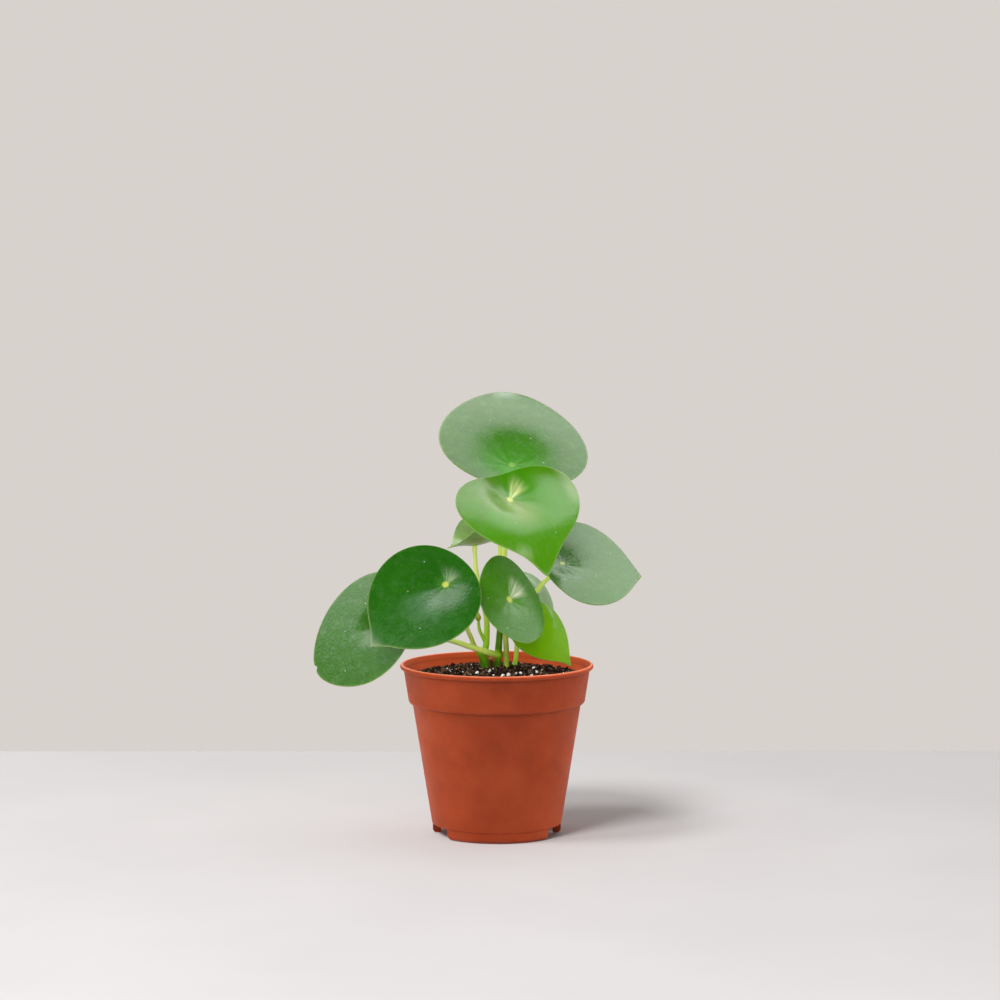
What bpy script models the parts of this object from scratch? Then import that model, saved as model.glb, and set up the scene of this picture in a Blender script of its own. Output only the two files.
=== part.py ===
"""A young potted peperomia: nursery pot, soil, stems with their leaf stalks, nine blades, a bud.

Metres, +Z up, +X to the right and -Y to the front. The origin is the middle of the pot's
underside, on the plane that the pot stands on. Sizes below are millimetres and degrees: each
object's mesh is scaled to metres once, when it is placed.
"""
import math

import bmesh
import bpy
from mathutils import Euler, Matrix, Vector

for thing in list(bpy.data.objects):
    bpy.data.objects.remove(thing)

TO_METRES = 0.001
GAP = 0.3  # clearance between pieces that rest on or in each other

# Pot: heights, and radii of its outside
POT_HEIGHT = 106
RIM_RADIUS = 60
LIP_ROUND = 1.5
LIP_WIDTH = 1.9
LIP_FLARE = 2.2  # how far down the inside starts to widen to the lip
COLLAR_TOP_RADIUS = 57.8
COLLAR_FOOT_RADIUS = 54.9
COLLAR_FOOT = 84
SHOULDER_ROUND = 2.6
BODY_FOOT_RADIUS = 40.4
SKIRT_RADIUS = 39.9
SKIRT_HEIGHT = 7
SKIRT_THICKNESS = 5
SKIRT_ROUND = 2.4
WALL = 1
INNER_DROP = 0.5  # how far the inside's bends lie below the outside's
PAD_RADIUS = 14
PAD_SPREAD = 3
PAD_WALL = 0.9
POT_SIDES = 48

# Pot: the notches in its skirt, which leave a stud at each side, and the drainage holes
NOTCHES = ((-36, -1), (41, 6), (139, 174), (219, 181))  # long foot's end, stud's end, from +X
NOTCH_HEIGHT = 6.5
NOTCH_SLANT = 3.5
NOTCH_INSIDE = 34
NOTCH_OUTSIDE = 48
DRAIN_COUNT = 8
DRAIN_RADIUS = 4
DRAIN_CIRCLE = 27

# Soil
SOIL_EDGE = 97.4
SOIL_HEAP = 5
SOIL_RINGS = 11
STEM_FOOT = 84
HOLE_CLEARANCE = 0.5

# Leaves
BLADE = 1.2
BLADE_RINGS = 6
BLADE_SPOKES = 32
SPOKE_CROWDING = 0.4
POINTED = (0.3, 1.15)
DRAWN_OUT = (0.3, 1.5)
SHARP = (0.2, 1.1)
ROUNDED = (0.55, 2)
DENT_SPREAD = 0.45


def linear(channel):
    """The linear value of an sRGB channel."""
    if channel <= 0.04045:
        return channel / 12.92
    return ((channel + 0.055) / 1.055) ** 2.4


def material(name, colour, roughness):
    """A plain Principled material with an sRGB hex colour."""
    channels = [linear(int(colour[i:i + 2], 16) / 255) for i in (1, 3, 5)]
    result = bpy.data.materials.new(name)
    result.use_nodes = True
    shader = result.node_tree.nodes["Principled BSDF"]
    shader.inputs["Base Color"].default_value = (*channels, 1)
    shader.inputs["Roughness"].default_value = roughness
    shader.inputs["Metallic"].default_value = 0
    return result


def place(name, shape, look, at=(0, 0, 0), turn=(0, 0, 0)):
    """Make an object of a bmesh in millimetres, at a place in millimetres, turned in degrees."""
    bmesh.ops.scale(shape, vec=(TO_METRES,) * 3, verts=shape.verts)
    mesh = bpy.data.meshes.new(name)
    shape.to_mesh(mesh)
    shape.free()
    mesh.shade_smooth()
    mesh.set_sharp_from_angle(angle=math.radians(35))
    mesh.materials.append(look)
    thing = bpy.data.objects.new(name, mesh)
    thing.location = Vector(at) * TO_METRES
    thing.rotation_euler = Euler([math.radians(angle) for angle in turn])
    bpy.context.collection.objects.link(thing)
    return thing


def apply_modifiers(thing):
    """Replace an object's mesh with its evaluated one."""
    bpy.context.view_layer.update()
    evaluated = thing.evaluated_get(bpy.context.evaluated_depsgraph_get())
    mesh = bpy.data.meshes.new_from_object(evaluated)
    thing.modifiers.clear()
    thing.data = mesh


def combine(thing, others, operation):
    """Unite an object with others, or cut them from it, one after another."""
    for other in others:
        boolean = thing.modifiers.new(operation.lower(), "BOOLEAN")
        boolean.operation = operation
        boolean.solver = "EXACT"
        boolean.object = other
        apply_modifiers(thing)
        bpy.data.objects.remove(other)
    return thing


def spun(outline, sides):
    """A closed body turned about Z from an outline of (radius, height) that ends on the axis."""
    shape = bmesh.new()
    corners = [shape.verts.new((radius, 0, height)) for radius, height in outline]
    lines = [shape.edges.new(pair) for pair in zip(corners, corners[1:])]
    bmesh.ops.spin(
        shape,
        geom=corners + lines,
        cent=(0, 0, 0),
        axis=(0, 0, 1),
        angle=2 * math.pi,
        steps=sides,
        use_merge=True,
    )
    bmesh.ops.remove_doubles(shape, verts=shape.verts, dist=0.001)
    bmesh.ops.recalc_face_normals(shape, faces=shape.faces)
    return shape


def arc(middle, radius, start, end, steps):
    """Points of a round stretch of an outline, from one angle to another, in degrees."""
    angles = [math.radians(start + (end - start) * i / steps) for i in range(steps + 1)]
    return [(middle[0] + radius * math.cos(a), middle[1] + radius * math.sin(a)) for a in angles]


# Pot: one turned body with a rounded lip, a deep collar, a round shoulder and a notched skirt
terracotta = material("terracotta_plastic", "#9C4329", 0.42)
BODY_TOP_RADIUS = COLLAR_FOOT_RADIUS - SHOULDER_ROUND
FLOOR = SKIRT_HEIGHT + WALL

pot_underside = [
    (0, 0),
    (PAD_RADIUS, 0),
    (PAD_RADIUS + PAD_SPREAD, SKIRT_HEIGHT),
    (SKIRT_RADIUS - SKIRT_THICKNESS, SKIRT_HEIGHT),
    (SKIRT_RADIUS - SKIRT_THICKNESS, 0),
]
pot_outside = [
    (SKIRT_RADIUS - SKIRT_ROUND, 0),
    (SKIRT_RADIUS - 0.7 * SKIRT_ROUND, 0.4),
    (SKIRT_RADIUS - 0.2 * SKIRT_ROUND, 2),
    (SKIRT_RADIUS, SKIRT_HEIGHT - 0.4),
    (BODY_FOOT_RADIUS, SKIRT_HEIGHT),
    *arc((BODY_TOP_RADIUS, COLLAR_FOOT), SHOULDER_ROUND, -90, 0, 4),
    (COLLAR_TOP_RADIUS, POT_HEIGHT - 2 * LIP_ROUND),
    *arc((RIM_RADIUS - LIP_ROUND, POT_HEIGHT - LIP_ROUND), LIP_ROUND, -90, 90, 6),
]
pot_inside = [
    (RIM_RADIUS - LIP_WIDTH, POT_HEIGHT),
    (COLLAR_TOP_RADIUS - WALL, POT_HEIGHT - LIP_FLARE),
    (COLLAR_FOOT_RADIUS - WALL, COLLAR_FOOT - INNER_DROP),
    (BODY_TOP_RADIUS - WALL, COLLAR_FOOT - SHOULDER_ROUND - INNER_DROP),
    (BODY_FOOT_RADIUS - WALL, FLOOR),
    (PAD_RADIUS + PAD_SPREAD - PAD_WALL, FLOOR),
    (PAD_RADIUS - PAD_WALL, WALL),
    (0, WALL),
]
pot = place("pot", spun(pot_underside + pot_outside + pot_inside, POT_SIDES), terracotta)

cutters = bmesh.new()
for foot_end, stud_end in NOTCHES:
    slant = math.copysign(2 * NOTCH_SLANT, foot_end - stud_end)
    for corner in bmesh.ops.create_cube(cutters, size=1)["verts"]:
        radius = NOTCH_OUTSIDE if corner.co.x > 0 else NOTCH_INSIDE
        angle = stud_end
        if corner.co.y > 0:
            angle = foot_end if corner.co.z > 0 else foot_end + slant
        angle = math.radians(angle)
        height = math.copysign(NOTCH_HEIGHT, corner.co.z)
        corner.co = (radius * math.cos(angle), radius * math.sin(angle), height)
for drain in range(DRAIN_COUNT):
    angle = 2 * math.pi * drain / DRAIN_COUNT
    spot = (DRAIN_CIRCLE * math.cos(angle), DRAIN_CIRCLE * math.sin(angle), SKIRT_HEIGHT)
    bmesh.ops.create_cone(
        cutters,
        cap_ends=True,
        segments=12,
        radius1=DRAIN_RADIUS,
        radius2=DRAIN_RADIUS,
        depth=4 * WALL,
        matrix=Matrix.Translation(spot),
    )
bmesh.ops.recalc_face_normals(cutters, faces=cutters.faces)
combine(pot, [place("pot_cutters", cutters, terracotta)], "DIFFERENCE")


# Soil: fills the pot to below the rim, heaped towards the middle and crumbly on top
earth = material("potting_soil", "#2E2320", 0.95)


def crumbs(x, y):
    """Height of the soil's lumps over its smooth heap."""
    coarse = 0.7 * math.sin(0.31 * x + 1.1) * math.cos(0.37 * y - 0.4)
    fine = 0.5 * math.sin(0.83 * x - 0.52 * y + 2.3) * math.cos(0.71 * y + 0.35 * x)
    return coarse + fine


def soil_height(x, y):
    """Height of the soil's top, in millimetres over the plane that the pot stands on."""
    rise = 1 - (x * x + y * y) / SOIL_RADIUS ** 2
    return SOIL_EDGE + SOIL_HEAP * rise + crumbs(x, y)


SLOPING_GAP = 1.5 * GAP  # measured level, so that it is no less than the gap square to a slope
collar_slope = (COLLAR_TOP_RADIUS - COLLAR_FOOT_RADIUS) / (POT_HEIGHT - COLLAR_FOOT)
SOIL_RADIUS = COLLAR_FOOT_RADIUS - WALL - SLOPING_GAP + collar_slope * (SOIL_EDGE - COLLAR_FOOT)
soil_side = [(radius - SLOPING_GAP, height) for radius, height in reversed(pot_inside[2:5])]
soil_side[0] = (soil_side[0][0], FLOOR + GAP)
soil_foot = [
    (0, WALL + GAP),
    (PAD_RADIUS - PAD_WALL - SLOPING_GAP, WALL + GAP),
    (PAD_RADIUS + PAD_SPREAD - PAD_WALL - SLOPING_GAP, FLOOR + GAP),
]
soil_top = [(SOIL_RADIUS * (1 - ring / SOIL_RINGS), SOIL_EDGE) for ring in range(SOIL_RINGS + 1)]
soil_shape = spun(soil_foot + soil_side + soil_top, POT_SIDES)
for vertex in soil_shape.verts:
    if vertex.co.z > SOIL_EDGE - 0.001:
        vertex.co.z = soil_height(vertex.co.x, vertex.co.y)
bmesh.ops.triangulate(soil_shape, faces=soil_shape.faces)
soil = place("soil", soil_shape, earth)


# Leaves: each blade is a disc spun round the place where its stalk joins, shaped by one rule
def leaf_material(name, colour):
    """A leaf's material: fleshy and softly glossy."""
    return material(name, colour, 0.38)


def blade(name, colour, at, turn, length, width, joint, droop, tip=8, egg=0.1, dip=(4, 10), dent=0,
          wave=(0, 0), nose=POINTED, curl=(0, 0, 1)):
    """A shield-shaped blade, with its origin where the stalk joins and its tip towards +X.

    turn is (roll, tilt, heading) in degrees. joint is the stalk's place, as a share of the
    length from the blunt end. droop is how far the tip, the blunt end and the sides hang. egg
    fattens the blunt half. dip is the depth and reach of the hollow over the stalk. dent pulls
    the blunt end in. wave is the rim's height and the direction, from the tip, where it is high.
    nose is the tip's spread and sharpness. curl turns one stretch of the rim up: its height, its
    direction and its half width.
    """
    half = length / 2
    middle = half - joint * length
    ahead = length * (1 - joint)
    behind = length * joint
    shape = bmesh.new()
    spoke = [shape.verts.new((ring / BLADE_RINGS, 0, 0)) for ring in range(BLADE_RINGS + 1)]
    lines = [shape.edges.new(pair) for pair in zip(spoke, spoke[1:])]
    bmesh.ops.spin(
        shape,
        geom=spoke + lines,
        cent=(0, 0, 0),
        axis=(0, 0, 1),
        angle=2 * math.pi,
        steps=BLADE_SPOKES,
        use_merge=True,
    )
    bmesh.ops.remove_doubles(shape, verts=shape.verts, dist=0.001)
    for vertex in shape.verts:
        reach = vertex.co.xy.length
        around = math.atan2(vertex.co.y, vertex.co.x)
        around -= SPOKE_CROWDING * math.sin(around)
        point = tip * math.exp(-(abs(around) / nose[0]) ** nose[1])
        blunt = dent * math.exp(-((abs(around) - math.pi) / DENT_SPREAD) ** 2)
        x = reach * (middle - tip / 2 + (half - tip / 2) * math.cos(around) + blunt)
        x += reach ** 3 * point
        y = reach * width / 2 * math.sin(around) * (1 - egg * math.cos(around))
        z = dip[0] * (1 - math.exp(-(x * x + y * y) / dip[1] ** 2))
        z -= droop[0] * (x / ahead) ** 2 if x > 0 else droop[1] * (x / behind) ** 2
        z -= droop[2] * (2 * y / width) ** 2
        z += wave[0] * reach ** 2 * math.cos(2 * (around - math.radians(wave[1])))
        apart = math.remainder(around - math.radians(curl[1]), 2 * math.pi)
        z += curl[0] * reach ** 4 * math.exp(-(apart / math.radians(curl[2])) ** 2)
        vertex.co = (x, y, z)
    bmesh.ops.triangulate(shape, faces=shape.faces)
    bmesh.ops.recalc_face_normals(shape, faces=shape.faces)
    if sum(face.normal.z for face in shape.faces) < 0:
        bmesh.ops.reverse_faces(shape, faces=shape.faces)
    thing = place(name, shape, leaf_material(name, colour), at, turn)
    solidify = thing.modifiers.new("thickness", "SOLIDIFY")
    solidify.thickness = BLADE * TO_METRES
    solidify.offset = -1
    return thing


leaf_top = blade("leaf_top", "#6E9A68", at=(9.5, 22, 228), turn=(10, -40, 90), length=96, width=94,
                 joint=0.29, droop=(13, 3, 1), tip=4, egg=0.14, dip=(9, 19), wave=(2.4, 0),
                 nose=ROUNDED)
leaf_centre = blade("leaf_centre", "#5F9A2C", at=(8, -22, 210), turn=(8, 41, -43), length=72,
                    width=94, joint=0.28, droop=(24, 3, 0), tip=13, egg=0.12, dip=(7, 17.5), dent=4,
                    wave=(2.4, 5), nose=DRAWN_OUT, curl=(4, 131, 44))
leaf_left_front = blade("leaf_left_front", "#2C6E20", at=(-31, -42, 160), turn=(-43, 38, -161),
                        length=78, width=73, joint=0.23, droop=(2, 0, 0), tip=8.5, egg=0.01,
                        dip=(5.5, 14), wave=(2.6, 57), nose=SHARP)
leaf_left_back = blade("leaf_left_back", "#4B8443", at=(-71, -12, 130), turn=(-45, 41, 170),
                       length=80, width=82, joint=0.39, droop=(1, 1, -2), tip=3.5, egg=0.11,
                       dip=(7, 8.5), wave=(2.2, -27), nose=ROUNDED)
leaf_middle = blade("leaf_middle", "#4A7F33", at=(7.7, -29.2, 149.4), turn=(-11, 63, -57), length=59,
                    width=50, joint=0.48, droop=(0, 3, -1), tip=3, egg=-0.1, dip=(2.5, 9),
                    wave=(3, 9), nose=ROUNDED)
leaf_right = blade("leaf_right", "#7FA07B", at=(41, 14, 167), turn=(35, 11, 10), length=64,
                   width=78, joint=0.2, droop=(5, 4, -2), tip=7, egg=0, dip=(4, 13),
                   wave=(-2.4, 72))
leaf_low_right = blade("leaf_low_right", "#65A01B", at=(21, 4, 130), turn=(35, 40, -8),
                       length=49, width=44, joint=0.26, droop=(9, 5, 3), tip=8, egg=0.12,
                       dip=(4, 9), wave=(1, -35))
leaf_back_left = blade("leaf_back_left", "#8CA66A", at=(-14, 26, 178), turn=(-2, 3, -154),
                       length=32, width=36, joint=0.41, droop=(1, -2, -10), tip=6, egg=0.13,
                       dip=(2, 8), wave=(2.5, 64))
leaf_back_right = blade("leaf_back_right", "#93AE90", at=(15, 30, 144), turn=(37, 48, -15),
                        length=50, width=46, joint=0.36, droop=(10, 6, 7), tip=6, egg=0.12,
                        dip=(4, 9))


# Stems: tapering round shoots that stand in plain holes in the soil, their stalks grown into them
green_stem = material("stem_green", "#4F8A1C", 0.45)
pale_stem = material("stalk_pale_green", "#A9BE4A", 0.45)


def shoot(points):
    """A round shoot through points of (x, y, z, radius), with its ends closed."""
    curve = bpy.data.curves.new("shoot", "CURVE")
    curve.dimensions = "3D"
    curve.bevel_depth = TO_METRES
    curve.bevel_resolution = 1
    curve.resolution_u = 3
    curve.use_fill_caps = True
    spline = curve.splines.new("BEZIER")
    spline.bezier_points.add(len(points) - 1)
    for anchor, (x, y, z, radius) in zip(spline.bezier_points, points):
        anchor.co = Vector((x, y, z)) * TO_METRES
        anchor.radius = radius
        anchor.handle_left_type = "AUTO"
        anchor.handle_right_type = "AUTO"
    thing = bpy.data.objects.new("shoot", curve)
    bpy.context.collection.objects.link(thing)
    bpy.context.view_layer.update()
    evaluated = thing.evaluated_get(bpy.context.evaluated_depsgraph_get())
    mesh = bpy.data.meshes.new_from_object(evaluated)
    bpy.data.objects.remove(thing)
    shape = bmesh.new()
    shape.from_mesh(mesh)
    bmesh.ops.remove_doubles(shape, verts=shape.verts, dist=0.00001)
    bmesh.ops.recalc_face_normals(shape, faces=shape.faces)
    bmesh.ops.scale(shape, vec=(1 / TO_METRES,) * 3, verts=shape.verts)
    return place("shoot", shape, green_stem)


def buried(x, y, radius):
    """The upright foot of a shoot, in the soil and a little above it."""
    return [(x, y, height, radius) for height in (STEM_FOOT, 90, 96, 101)]


def seat(leaf, radius, approach=7):
    """The end of a stalk that comes up square to a blade's underside and stops a gap below it."""
    down = leaf.rotation_euler.to_matrix() @ Vector((0, 0, -1))
    joint = leaf.location / TO_METRES
    near = joint + down * (BLADE + GAP)
    far = joint + down * approach
    return [(*far, radius), (*near, radius * 1.15)]


def knot(x, y, z, radius):
    """The swelling where a stalk leaves a stem."""
    shape = bmesh.new()
    bmesh.ops.create_icosphere(
        shape, subdivisions=2, radius=radius, matrix=Matrix.Translation((x, y, z))
    )
    return place("knot", shape, green_stem)


def stem(name, look, pieces):
    """Join a stem's shoots and knots into one body with one material."""
    body = combine(pieces[0], pieces[1:], "UNION")
    body.name = name
    body.data.name = name
    body.data.materials.clear()
    body.data.materials.append(look)
    return body


LEFT_STEM = (-7, 7, 2.8)
MAIN_STEM = (0.3, 4, 2.6)
MIDDLE_STALK = (5.8, 9.4, 1.8)
LOW_RIGHT_STALK = (11.2, 12, 1.6)
BUD_AT = (-11.4, 7, 131.6)

stem_left = stem("stem_left", green_stem, [
    shoot(buried(*LEFT_STEM) + [(-7.6, 7, 106, 2.9), (-9, 6.4, 111, 3), (-10.4, 6, 113.6, 2.4)]),
    shoot([(-9, 6.4, 110.5, 2.2), (-7, 7.5, 115, 2.1), (-6.4, 10, 122, 2), (-6.3, 13, 130, 1.8),
           (-8.2, 18, 141, 1.65), (-12.5, 24, 159, 1.5), *seat(leaf_back_left, 1.35)]),
    shoot([(-7, 8.5, 117.5, 1.2), (-9.2, 8, 122.4, 1.15), (-10.8, 7.4, 126.3, 1.1), (*BUD_AT, 1)]),
    shoot([(-10, 6, 112, 1.8), (-13.4, 2.6, 115.8, 1.6), (-15.8, -4.5, 122.4, 1.5),
           (-18.2, -12, 129, 1.45), (-22, -23, 139.5, 1.4), *seat(leaf_left_front, 1.4)]),
    knot(-9.6, 6, 112, 3.3),
])
stem_main = stem("stem_main", green_stem, [
    shoot(buried(*MAIN_STEM) + [(0.6, 4, 106, 2.4), (1, 3.2, 113, 2.3), (1.8, 3, 124, 2.1),
                                (3.2, 3, 142, 1.9), (4.3, 2, 160, 1.8), (4.9, 1, 177, 1.75),
                                (6, -4, 192, 1.6), *seat(leaf_centre, 1.5)]),
    shoot([(3.4, 3, 146, 1.6), (2.6, 6.5, 160, 1.55), (2.1, 9, 175, 1.55), (3.8, 13, 192, 1.55),
           (6.6, 20, 209, 1.55), *seat(leaf_top, 1.6, 9)]),
    shoot([(1, 3.2, 110.4, 2.2), (-2.6, -1, 112.2, 2.1), (-7.3, -3.6, 114, 2),
           (-13.6, -4, 116, 1.9), (-27.7, -3.5, 120.6, 1.7), (-45, -1, 124, 1.6),
           *seat(leaf_left_back, 1.5)]),
    shoot([(2.1, 3, 127, 1.7), (8, 11, 133, 1.65), (15.7, 17, 140.3, 1.6), (24.3, 19, 148.5, 1.55),
           (31.7, 19, 156.7, 1.5), *seat(leaf_right, 1.4)]),
    shoot([(1.6, 3, 120, 1.3), (2.5, 16, 122.5, 1.25), (6, 30, 128, 1.2),
           *seat(leaf_back_right, 1.2)]),
    knot(1, 3.3, 111, 3),
    knot(2.1, 3, 126.5, 2.3),
])
stalk_middle = stem("stalk_middle", pale_stem, [
    shoot(buried(*MIDDLE_STALK) + [(6, 8, 107, 1.8), (5.9, 2, 114.5, 1.8), (5.5, -5, 122, 1.75),
                                   (5.3, -13, 130.5, 1.65), (5, -20, 138.5, 1.5),
                                   *seat(leaf_middle, 1.4)]),
])
stalk_low_right = stem("stalk_low_right", pale_stem, [
    shoot(buried(*LOW_RIGHT_STALK) + [(11.8, 13, 106, 1.6), (12.4, 13.3, 112, 1.55),
                                      (12.8, 12.5, 117.5, 1.45), *seat(leaf_low_right, 1.3)]),
])

holes = []
for x, y, radius in (LEFT_STEM, MAIN_STEM, MIDDLE_STALK, LOW_RIGHT_STALK):
    hole = bmesh.new()
    bottom = STEM_FOOT - GAP
    top = POT_HEIGHT + SOIL_HEAP
    bmesh.ops.create_cone(
        hole,
        cap_ends=True,
        segments=16,
        radius1=radius + HOLE_CLEARANCE,
        radius2=radius + HOLE_CLEARANCE,
        depth=top - bottom,
        matrix=Matrix.Translation((x, y, (top + bottom) / 2)),
    )
    holes.append(place("hole", hole, earth))
combine(soil, holes, "DIFFERENCE")


# Bud: a small unopened leaf, rolled to a point, at the end of its own stalk
BUD_LENGTH = 7
BUD_RADIUS = 1.9
BUD_RINGS = 6
bud_outline = [(0, 0)]
for ring in range(1, BUD_RINGS):
    share = ring / BUD_RINGS
    bud_outline.append((BUD_RADIUS * math.sin(math.pi * share ** 0.8), BUD_LENGTH * share))
bud_outline.append((0, BUD_LENGTH))
bud = place("bud", spun(bud_outline, 12), material("bud_olive", "#8E9B2A", 0.45),
            at=Vector(BUD_AT) + Vector((0, 0, GAP)), turn=(0, -4, 0))
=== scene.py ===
"""A young potted peperomia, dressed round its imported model. Metres, +Z up, -Y to the front."""
import math
import random

import bmesh
import bpy
import numpy as np
from mathutils import Euler, Matrix, Vector, noise


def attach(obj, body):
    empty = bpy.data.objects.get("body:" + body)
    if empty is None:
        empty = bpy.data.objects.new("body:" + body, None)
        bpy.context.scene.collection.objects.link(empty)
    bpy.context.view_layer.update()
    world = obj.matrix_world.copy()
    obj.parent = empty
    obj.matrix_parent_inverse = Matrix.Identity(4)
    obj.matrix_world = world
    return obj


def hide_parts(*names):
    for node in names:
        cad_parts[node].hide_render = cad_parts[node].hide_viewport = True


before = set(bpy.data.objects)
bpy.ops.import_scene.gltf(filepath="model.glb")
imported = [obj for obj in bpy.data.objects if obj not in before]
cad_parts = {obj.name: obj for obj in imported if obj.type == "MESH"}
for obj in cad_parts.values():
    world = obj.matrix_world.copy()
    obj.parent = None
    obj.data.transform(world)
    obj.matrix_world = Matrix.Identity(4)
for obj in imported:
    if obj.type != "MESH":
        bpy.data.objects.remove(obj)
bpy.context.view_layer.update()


# Pot: a 12 cm nursery pot, injection moulded in terracotta-coloured polypropylene. One turned
# wall with a rounded lip, a deep collar, a soft shoulder and a thick skirt that it stands on.
# Notches in the skirt leave a stud at each side, and the raised floor has eight drainage holes.
MM = 0.001
MERGED = 0.0005
SMOOTH_BELOW = 40
POT_HEIGHT = 106
RIM_RADIUS = 60
LIP_ROUND = 1.5
LIP_WIDTH = 1.9
LIP_FLARE = 2.2
LIP_EDGE = 0.25
COLLAR_TOP_RADIUS = 57.8
COLLAR_FOOT_RADIUS = 54.9
COLLAR_FOOT = 84
SHOULDER_ROUND = 2.6
BODY_FOOT_RADIUS = 40.4
SKIRT_RADIUS = 39.9
SKIRT_HEIGHT = 7
SKIRT_THICKNESS = 5
SKIRT_ROUND = 2.4
WALL = 1
INNER_DROP = 0.5
STEP_ROUND = 0.35
NECK_ROUND = 0.4
PAD_RADIUS = 14
PAD_SPREAD = 3
PAD_WALL = 0.9
POT_SIDES = 240
NOTCHES = ((-36, -1), (41, 6), (139, 174), (219, 181))
NOTCH_HEIGHT = 6.5
NOTCH_SLANT = 3.5
NOTCH_INSIDE = 34
NOTCH_OUTSIDE = 48
DRAIN_COUNT = 8
DRAIN_RADIUS = 4
DRAIN_CIRCLE = 27
DRAIN_SIDES = 32
EASED = {"interpolation_type": "SMOOTHSTEP"}


def colour(hexadecimal):
    """The linear RGBA of an sRGB hex colour."""
    channels = [int(hexadecimal[i:i + 2], 16) / 255 for i in (1, 3, 5)]
    return (*[c / 12.92 if c <= 0.04045 else ((c + 0.055) / 1.055) ** 2.4 for c in channels], 1)


def feed(socket, value):
    """Give an input a value, an sRGB hex colour or the output that it is linked to."""
    if isinstance(value, bpy.types.NodeSocket):
        socket.id_data.links.new(value, socket)
    elif isinstance(value, str):
        socket.default_value = colour(value)
    else:
        socket.default_value = value


def node(tree, kind, inputs=None, output=0, stops=None, **settings):
    """Add a shader node with its settings, inputs and ramp stops, and give one of its outputs."""
    added = tree.nodes.new("ShaderNode" + kind)
    for name, value in settings.items():
        setattr(added, name, value)
    for socket, value in (inputs or {}).items():
        feed(added.inputs[socket], value)
    for index, (place, shade) in enumerate(stops or ()):
        if index > 1:
            added.color_ramp.elements.new(place)
        added.color_ramp.elements[index].position = place
        added.color_ramp.elements[index].color = colour(shade)
    return added.outputs[output] if added.outputs else None


def new_material(name):
    """A material with its node tree, its Principled shader and its coordinates in metres."""
    made = bpy.data.materials.new(name)
    made.use_nodes = True
    tree = made.node_tree
    return made, tree, tree.nodes["Principled BSDF"], node(tree, "TexCoord", output="Object")


def surface(shader, **inputs):
    """Feed the shader's inputs, named with underscores for spaces."""
    for name, value in inputs.items():
        feed(shader.inputs[name.replace("_", " ")], value)


def scattering(shader, share, millimetres):
    """Let light into the body of a material, to a depth for red, green and blue."""
    surface(shader, Subsurface_Weight=share, Subsurface_Scale=MM, Subsurface_Radius=millimetres)


def per(size):
    """A pattern's scale on coordinates in metres, from the size of its features in millimetres."""
    return 1 / (size * MM)


def arc(middle, radius, start, end, steps):
    """Points of a round stretch of an outline, from one angle to another, in degrees."""
    angles = [math.radians(start + (end - start) * i / steps) for i in range(steps + 1)]
    return [(middle[0] + radius * math.cos(a), middle[1] + radius * math.sin(a)) for a in angles]


def spun(outline, sides):
    """A closed body turned about Z from an outline of (radius, height) that ends on the axis."""
    shape = bmesh.new()
    corners = [shape.verts.new((radius, 0, height)) for radius, height in outline]
    lines = [shape.edges.new(pair) for pair in zip(corners, corners[1:])]
    bmesh.ops.spin(shape, geom=corners + lines, cent=(0, 0, 0), axis=(0, 0, 1),
                   angle=2 * math.pi, steps=sides, use_merge=True)
    bmesh.ops.remove_doubles(shape, verts=shape.verts, dist=MERGED)
    bmesh.ops.recalc_face_normals(shape, faces=shape.faces)
    return shape


def piece(name, shape, look, smooth=SMOOTH_BELOW):
    """Make an object of a bmesh in millimetres, smooth up to an angle in degrees."""
    bmesh.ops.scale(shape, vec=(MM,) * 3, verts=shape.verts)
    mesh = bpy.data.meshes.new(name)
    shape.to_mesh(mesh)
    shape.free()
    mesh.shade_smooth()
    mesh.set_sharp_from_angle(angle=math.radians(smooth))
    mesh.materials.append(look)
    thing = bpy.data.objects.new(name, mesh)
    bpy.context.scene.collection.objects.link(thing)
    return thing


def apply_modifiers(thing):
    """Replace a piece's mesh with its evaluated one."""
    bpy.context.view_layer.update()
    evaluated = thing.evaluated_get(bpy.context.evaluated_depsgraph_get())
    mesh = bpy.data.meshes.new_from_object(evaluated)
    thing.modifiers.clear()
    thing.data = mesh


def cut(thing, cutter):
    """Cut one piece out of another and drop it."""
    boolean = thing.modifiers.new("cut", "BOOLEAN")
    boolean.operation = "DIFFERENCE"
    boolean.solver = "EXACT"
    boolean.object = cutter
    apply_modifiers(thing)
    bpy.data.objects.remove(cutter)


# Moulded polypropylene, satin and through-coloured: soft clouds where the melt met, faint rings
# from the mould's turning, a fine grain, and a glow of light through the thin wall. The top of
# the lip is shinier and painted pale as a highlight, and painted shade darkens the corners below
# lip and collar.
PLASTIC_CLOUDS = 26.32
PLASTIC_GRAIN = 0.8333
MOULD_RINGS = (83.33, 83.33, 0.7143)
RUBBED_PATCHES = 14.29
LIP_HIGHLIGHT_FROM = POT_HEIGHT - 0.8
LIP_HIGHLIGHT_TO = POT_HEIGHT - 0.1
PAINTED_SHADE_BANDS = ((COLLAR_FOOT - 0.95 * SHOULDER_ROUND, 1.1), (POT_HEIGHT - 3.6, 0.9))
terracotta, tree, shader, place = new_material("moulded_polypropylene_terracotta")
clouds = node(tree, "TexNoise",
              {"Vector": place, "Scale": per(PLASTIC_CLOUDS), "Detail": 5.0, "Roughness": 0.62})
body = node(tree, "ValToRGB", {"Fac": clouds}, stops=[(0.32, "#9C3C18"), (0.68, "#B24C26")])
height = node(tree, "SeparateXYZ", {0: place}, output="Z")
# Painted highlight: the top of the lip is mixed half way towards pale orange, and is made shinier.
top_highlight_and_wear = node(tree, "MapRange", {"Value": height, "From Min": LIP_HIGHLIGHT_FROM * MM, "From Max": LIP_HIGHLIGHT_TO * MM})
painted_highlight_share = node(tree, "Math", {0: top_highlight_and_wear, 1: 0.5}, operation="MULTIPLY")
body = node(tree, "MixRGB", {"Fac": painted_highlight_share, "Color1": body, "Color2": "#EC8C66"})
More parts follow.
